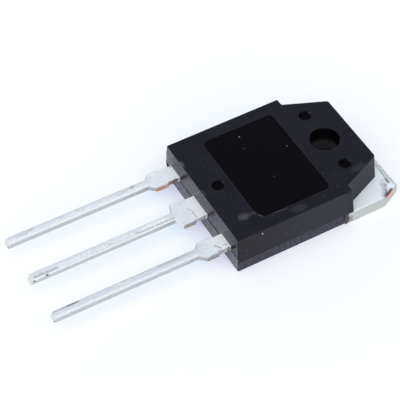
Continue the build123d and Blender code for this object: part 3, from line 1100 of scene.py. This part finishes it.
EPOXY = MouldedEpoxy()
TIN = TinPlate()
BURR = AgedCopper(
    "torn_copper", (0.66, 0.36, 0.19), (0.8, 0.58, 0.42), (0.45, 0.6), 0.4, 14.0, 3.0, (0.5, 0.006)
)
DUST = Grained(
    "pale_dust", (0.1, 0.1, 0.12), (0.4, 0.41, 0.44), (0.8, 0.95), 0.0, 25.0, 0.7, (0.4, 0.01)
)
SOLDER = Grained("soft_solder", (0.4, 0.41, 0.44), (0.62, 0.63, 0.66), (0.55, 0.45))
SILICON = Grained("silicon_chip", (0.1, 0.11, 0.14), (0.16, 0.17, 0.21), (0.28, 0.18))
ALUMINIUM = Grained("bond_aluminium", (0.7, 0.7, 0.72), (0.86, 0.86, 0.87), (0.4, 0.3))
PAPER = StudioPaper()


# ------------------------ repeated small forms
def settled(host: bpy.types.Object) -> bpy.types.Mesh:
    """The plain mesh that an object and its modifiers give.

    Args:
        host: the object, which is left as it is.

    Returns:
        A new mesh.
    """
    depsgraph = bpy.context.evaluated_depsgraph_get()
    return bpy.data.meshes.new_from_object(host.evaluated_get(depsgraph))


def put_in_scene(name: str, data: bpy.types.ID) -> bpy.types.Object:
    """Links a new object at the origin.

    Args:
        name: its name.
        data: its mesh, light or camera.

    Returns:
        The object.
    """
    made = bpy.data.objects.new(name, data)
    bpy.context.scene.collection.objects.link(made)
    return made


def merged_copy(name: str) -> bmesh.types.BMesh:
    """A copy of a carried-over node's mesh with its doubled vertices joined.

    Args:
        name: the node's name.

    Returns:
        The copy, which mesh_of frees.
    """
    form = bmesh.new()
    form.from_mesh(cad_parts[name].data)
    bmesh.ops.remove_doubles(form, verts=form.verts, dist=0.001 * MM)
    return form


def mesh_of(name: str, form: bmesh.types.BMesh) -> bpy.types.Mesh:
    """Turns an edited copy into a mesh and frees it.

    Args:
        name: the mesh's name.
        form: the copy.

    Returns:
        The mesh.
    """
    mesh = bpy.data.meshes.new(name)
    form.to_mesh(mesh)
    form.free()
    return mesh


@dataclass(frozen=True)
class Pattern(ABC):
    """A small form repeated by Geometry Nodes over a host, then made into one plain mesh."""

    title: str
    finish: Finish
    slot: str
    values: dict[str, float]
    takes = {"Geometry": SocketKind.GEOMETRY, "Finish": SocketKind.MATERIAL}

    def tree(self) -> bpy.types.GeometryNodeTree:
        """The node tree with its named inputs."""
        tree = bpy.data.node_groups.new(self.title, "GeometryNodeTree")
        kinds = {
            name: SocketKind.WHOLE if isinstance(value, int) else SocketKind.NUMBER
            for name, value in self.values.items()
        }
        add_sockets(tree, "INPUT", self.takes | kinds)
        add_sockets(tree, "OUTPUT", {"Geometry": SocketKind.GEOMETRY})
        graph = Graph(tree)
        given = graph.node("NodeGroupInput").outputs
        repeated = self.wire(graph, given["Geometry"], *(given[name] for name in kinds))
        real = graph.node("GeometryNodeRealizeInstances", {"Geometry": repeated}).outputs[0]
        dressed = graph.node("GeometryNodeSetMaterial", {"Geometry": real, "Material": given["Finish"]})
        graph.node("NodeGroupOutput", {"Geometry": dressed.outputs[0]})
        return tree

    @abstractmethod
    def wire(self, graph: Graph, host: Socket, *given: Socket) -> Socket:
        """Builds the nodes that repeat the form.

        Args:
            graph: the tree's graph.
            host: the host's geometry.
            given: the tree's number inputs, in the order of values.

        Returns:
            The geometry socket.
        """

    @abstractmethod
    def host_mesh(self) -> bpy.types.Mesh:
        """The mesh that the form is repeated over."""

    def make(self) -> bpy.types.Object:
        """Makes the piece.

        Returns:
            The plain piece, which rides on the part's body.
        """
        host = put_in_scene(f"{self.title}_host", self.host_mesh())
        modifier = host.modifiers.new(self.title, "NODES")
        modifier.node_group = self.tree()
        values = {**self.values, "Finish": self.finish.material()}
        for item in modifier.node_group.interface.items_tree:
            if item.in_out == "INPUT" and item.name in values:
                modifier[item.identifier] = values[item.name]
        piece = put_in_scene(self.title, settled(host))
        bpy.data.objects.remove(host)
        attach(piece, BODY)
        return piece


@dataclass(frozen=True)
class DustSpecks(Pattern):
    """Specks of dust that lie on the front and on the sides of the moulding."""

    host_node: str = "molded_case"
    clear_of_axis: float = 1.9
    lowest: float = 0.3
    steepest: float = -0.4
    small_bias: float = 3.0

    def host_mesh(self) -> bpy.types.Mesh:
        """A copy of the moulding; see Pattern.host_mesh."""
        return mesh_of(self.title, merged_copy(self.host_node))

    def wire(self, graph: Graph, host: Socket, seed: Socket, density: Socket, *sizes: Socket) -> Socket:
        """Scatters flattened grains over the faces; see Pattern.wire."""
        smallest, largest, flatness = sizes
        place = graph.node("GeometryNodeInputPosition").outputs[0]
        up = graph.parts_of(graph.node("GeometryNodeInputNormal").outputs[0])[2]
        chosen = graph.product(
            graph.math("GREATER_THAN", graph.from_axis(place), self.clear_of_axis * MM),
            graph.math("GREATER_THAN", up, self.steepest),
            graph.math("GREATER_THAN", graph.parts_of(place)[2], self.lowest * MM),
        )
        strewn = {"Mesh": host, "Selection": chosen, "Density": density, "Seed": seed}
        points = graph.node("GeometryNodeDistributePointsOnFaces", strewn).outputs
        grain = graph.node("GeometryNodeMeshIcoSphere", {"Radius": 1.0, "Subdivisions": 2})
        drawn = {2: 0.0, 3: 1.0, "Seed": seed}
        draw = graph.node("FunctionNodeRandomValue", drawn, data_type="FLOAT").outputs[1]
        size = graph.lerp(graph.math("POWER", draw, self.small_bias), smallest, largest)
        thick = graph.product(size, flatness)
        laid = {
            "Points": points["Points"],
            "Instance": grain.outputs["Mesh"],
            "Rotation": points["Rotation"],
            "Scale": graph.node("ShaderNodeCombineXYZ", {0: size, 1: size, 2: thick}).outputs[0],
        }
        return graph.node("GeometryNodeInstanceOnPoints", laid).outputs[0]


@dataclass(frozen=True)
class ShearBurrs(Pattern):
    """Ragged beads of metal along the lower corners where the tie bars were sheared off the leads."""

    centres: tuple[float, ...] = (-5.62, -0.17, 5.28)
    half_widths: tuple[float, ...] = (1.15, 1.65, 1.15)
    sunk_in: float = 0.01
    reach: Span = (-16.56, -17.88)
    level: float = 2.07

    def host_mesh(self) -> bpy.types.Mesh:
        """One edge along each corner; see Pattern.host_mesh."""
        points: list[Point] = []
        for centre, half in zip(self.centres, self.half_widths):
            for side in (-1, 1):
                for along in self.reach:
                    drift = LEAD_LEAN * (LEAD_FACE - along)
                    across = centre - drift + side * (half - self.sunk_in)
                    points.append((across * MM, along * MM, self.level * MM))
        edges = [(first, first + 1) for first in range(0, len(points), 2)]
        mesh = bpy.data.meshes.new(self.title)
        mesh.from_pydata(points, edges, [])
        return mesh

    def wire(
        self, graph: Graph, host: Socket, count: Socket, radius: Socket, raggedness: Socket, wander: Socket
    ) -> Socket:
        """Sweeps an uneven bead along the edges; see Pattern.wire."""
        line = graph.node("GeometryNodeMeshToCurve", {"Mesh": host}).outputs[0]
        fine = graph.node("GeometryNodeResampleCurve", {"Curve": line, "Count": count})
        place = graph.node("GeometryNodeInputPosition").outputs[0]
        shift = graph.wandering(place, raggedness, 2.0, wander)
        moved = graph.node("GeometryNodeSetPosition", {"Geometry": fine.outputs[0], "Offset": shift})
        ring = graph.node("GeometryNodeCurvePrimitiveCircle", {"Resolution": 6, "Radius": radius})
        swept = {"Curve": moved.outputs[0], "Profile Curve": ring.outputs[0], "Fill Caps": True}
        return graph.node("GeometryNodeCurveToMesh", swept).outputs[0]


# ------------------------ sub-assemblies
@dataclass
class SubAssembly(ABC):
    """A group of pieces that are made and dressed together."""

    finishes: dict[str, Finish]

    def paint(self) -> list[str]:
        """Gives the carried-over nodes their finishes.

        Returns:
            The names of the nodes.
        """
        for name, finish in self.finishes.items():
            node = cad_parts[name]
            node.data.materials.clear()
            node.data.materials.append(finish.material())
        return list(self.finishes)

    def make(self) -> list[str]:
        """Makes the pieces that this sub-assembly adds.

        Returns:
            The names of the pieces.
        """
        return []

    def build(self) -> None:
        """Dresses and makes everything here, and reports each piece."""
        for name in [*self.paint(), *self.make()]:
            LOG.info("%s: %s", type(self).__name__, name)


@dataclass
class Moulding(SubAssembly):
    """The one-piece moulded case and the dust on it."""

    dust: Pattern

    def make(self) -> list[str]:
        """Strews the dust; see SubAssembly.make."""
        return [self.dust.make().name]


@dataclass
class CopperFrame(SubAssembly):
    """Tab, slug and the three leads, with slanted tips and ragged cut corners."""

    burrs: Pattern
    cut: float = -34.42
    top_end: float = -34.65
    middle_top_end: float = -34.5
    bottom_end: float = -34.9
    squeeze: float = 0.96
    crease: float = 30.0
    tolerance: float = 0.001

    def make(self) -> list[str]:
        """Trims the tips and adds the burrs; see SubAssembly.make."""
        return [*(self.trim(name).name for name in self.finishes), self.burrs.make().name]

    def slanted(self, name: str) -> bpy.types.Mesh:
        """A copy of a node's mesh with the slanted end that the trimming tool leaves on a lead.

        Args:
            name: the node's name.

        Returns:
            The mesh.
        """
        form = merged_copy(name)
        everything = [*form.verts, *form.edges, *form.faces]
        plane = {"plane_co": (0, self.cut * MM, 0), "plane_no": (0, -1, 0)}
        bmesh.ops.bisect_plane(form, geom=everything, clear_outer=True, **plane)
        near = self.tolerance * MM
        rim = [edge for edge in form.edges if all(abs(v.co.y - self.cut * MM) < near for v in edge.verts)]
        grown = bmesh.ops.extrude_edge_only(form, edges=rim)["geom"]
        tip = [part for part in grown if isinstance(part, bmesh.types.BMVert)]
        middle = (min(v.co.x for v in tip) + max(v.co.x for v in tip)) / 2
        top_end = self.middle_top_end if name == "collector_frame" else self.top_end
        for vertex in tip:
            share = (vertex.co.z / MM - LEAD_BOTTOM) / (LEAD_TOP - LEAD_BOTTOM)
            vertex.co.y = (self.bottom_end + share * (top_end - self.bottom_end)) * MM
            vertex.co.x = middle + self.squeeze * (vertex.co.x - middle)
        loop = [part for part in grown if isinstance(part, bmesh.types.BMEdge)]
        bmesh.ops.edgeloop_fill(form, edges=loop)
        bmesh.ops.recalc_face_normals(form, faces=form.faces)
        return mesh_of(name, form)

    def trim(self, name: str) -> bpy.types.Object:
        """Stands in for a node with its slanted copy.

        Args:
            name: the node's name.

        Returns:
            The piece that stands for the node.
        """
        mesh = self.slanted(name)
        stale = mesh.attributes.get("custom_normal")
        if stale is not None:
            mesh.attributes.remove(stale)
        mesh.shade_smooth()
        mesh.set_sharp_from_angle(angle=math.radians(self.crease))
        mesh.materials.clear()
        mesh.materials.append(self.finishes[name].material())
        host = put_in_scene(f"{name}_host", mesh)
        host.modifiers.new("flat_faces_first", "WEIGHTED_NORMAL").keep_sharp = True
        piece = put_in_scene(f"{name}_trimmed", settled(host))
        bpy.data.objects.remove(host)
        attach(piece, BODY)
        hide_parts(name)
        return piece


@dataclass
class ChipAndWires(SubAssembly):
    """What is sealed inside the moulding."""


# ------------------------ studio
@dataclass(frozen=True)
class Studio:
    """Table, surroundings and one broad soft light overhead."""

    table_half_side: float = 1500.0
    table_gap: float = 0.02
    air: Colour = (0.93, 0.98, 1.06)
    horizon_level: float = 1.0
    zenith_level: float = 0.45
    sky_rise: Span = (0.15, 0.55)
    behind: Point = (-0.88, 0.47, 0.0)
    behind_level: float = 2.3
    behind_width: Span = (0.0, 0.8)
    flag_direction: Point = (-0.56, 0.3, 0.77)
    flag_cosines: Span = (0.9, 0.985)
    flag_share: float = 0.25
    light_strength: float = 1.75
    light_spread: float = 95.0
    light_from: Point = (0.52, -0.33, 0.78)

    def build(self) -> None:
        """Makes the table, the surroundings and the lamp."""
        self.table()
        self.surround()
        self.lamp()

    def table(self) -> None:
        """The white table under the part."""
        half = self.table_half_side * MM
        level = CAD_BOX[0].z - self.table_gap * MM
        mesh = bpy.data.meshes.new("table")
        corners = [(-half, -half, level), (half, -half, level), (half, half, level), (-half, half, level)]
        mesh.from_pydata(corners, [], [(0, 1, 2, 3)])
        mesh.materials.append(PAPER.material())
        table = put_in_scene("table", mesh)

    def surround(self) -> None:
        """White surroundings, dimmer where the front face would mirror them towards the camera."""
        world = bpy.data.worlds.new("studio")
        world.use_nodes = True
        world.node_tree.nodes.clear()
        graph = Graph(world.node_tree)
        direction = graph.node("ShaderNodeTexCoord").outputs["Generated"]
        flag = tuple(Vector(self.flag_direction).normalized())
        nearness = graph.vector("DOT_PRODUCT", direction, flag)
        rearward = graph.vector("DOT_PRODUCT", direction, self.behind)
        rise = graph.parts_of(direction)[2]
        low_level = graph.ramp(rearward, *self.behind_width, self.horizon_level, self.behind_level)
        open_sky = graph.ramp(rise, *self.sky_rise, low_level, self.zenith_level)
        flagged = graph.ramp(nearness, *self.flag_cosines, 1.0, self.flag_share)
        seen = graph.node("ShaderNodeLightPath").outputs["Is Camera Ray"]
        lit = {
            "Color": graph.mix(seen, self.air, WHITE),
            "Strength": graph.lerp(seen, graph.product(open_sky, flagged), 1.0),
        }
        background = graph.node("ShaderNodeBackground", lit)
        graph.node("ShaderNodeOutputWorld", {"Surface": background.outputs[0]})
        bpy.context.scene.world = world

    def lamp(self) -> None:
        """One broad soft light almost straight above the part."""
        light = bpy.data.lights.new("soft_light", "SUN")
        light.energy = self.light_strength
        light.angle = math.radians(self.light_spread)
        lamp = put_in_scene("soft_light", light)
        lamp.rotation_mode = "QUATERNION"
        lamp.rotation_quaternion = Vector(self.light_from).to_track_quat("Z", "Y")


@dataclass(frozen=True)
class Viewpoint:
    """The camera: it looks down on the front face from the emitter's side."""

    azimuth: float = 62.132
    elevation: float = 49.145
    roll: float = -1.672
    distance: float = 171.371
    aim: Point = (-0.963, -14.7, 2.4)
    sensor_width: float = 36.0
    focal_length: float = 146.86
    clip: Span = (0.1, 50.0)

    def build(self) -> None:
        """Makes the camera and gives it to the scene."""
        turn, rise, roll = (math.radians(a) for a in (self.azimuth, self.elevation, self.roll))
        level = math.cos(rise)
        back = Vector((level * math.sin(turn), -level * math.cos(turn), math.sin(rise)))
        right = (-back).cross(Vector((0, 0, 1))).normalized()
        over = right.cross(-back)
        across = math.cos(roll) * right + math.sin(roll) * over
        upward = -math.sin(roll) * right + math.cos(roll) * over
        place = (Vector(self.aim) + self.distance * back) * MM
        data = bpy.data.cameras.new("camera")
        data.sensor_width = self.sensor_width
        data.lens = self.focal_length
        data.clip_start, data.clip_end = (share * self.distance * MM for share in self.clip)
        camera = put_in_scene("camera", data)
        axes = Matrix((across, upward, back)).transposed().to_4x4()
        camera.matrix_world = Matrix.Translation(place) @ axes
        bpy.context.scene.camera = camera


def main() -> None:
    """Builds the sub-assemblies in order, then the studio and the camera."""
    logging.basicConfig(level=logging.INFO, format="%(message)s")
    bpy.context.scene.view_settings.view_transform = "Standard"
    leads = dict.fromkeys(("collector_frame", "base_lead", "emitter_lead"), TIN)
    wires = dict.fromkeys(("base_bond_wire", "emitter_bond_wire_a", "emitter_bond_wire_b"), ALUMINIUM)
    specks = {
        "Seed": 5,
        "Density": 60000.0,
        "Smallest": 0.012 * MM,
        "Largest": 0.055 * MM,
        "Flatness": 0.35,
    }
    beads = {"Count": 26, "Radius": 0.022 * MM, "Raggedness": 3800.0, "Wander": 0.07 * MM}
    dust = DustSpecks("dust_specks", DUST, "molding_compound", specks)
    burrs = ShearBurrs("shear_burrs", BURR, "plated_copper", beads)
    Moulding({"molded_case": EPOXY}, dust).build()
    CopperFrame(leads, burrs).build()
    ChipAndWires({"die_solder": SOLDER, "transistor_die": SILICON, **wires}).build()
    Studio().build()
    Viewpoint().build()


if __name__ == "__main__":
    main()
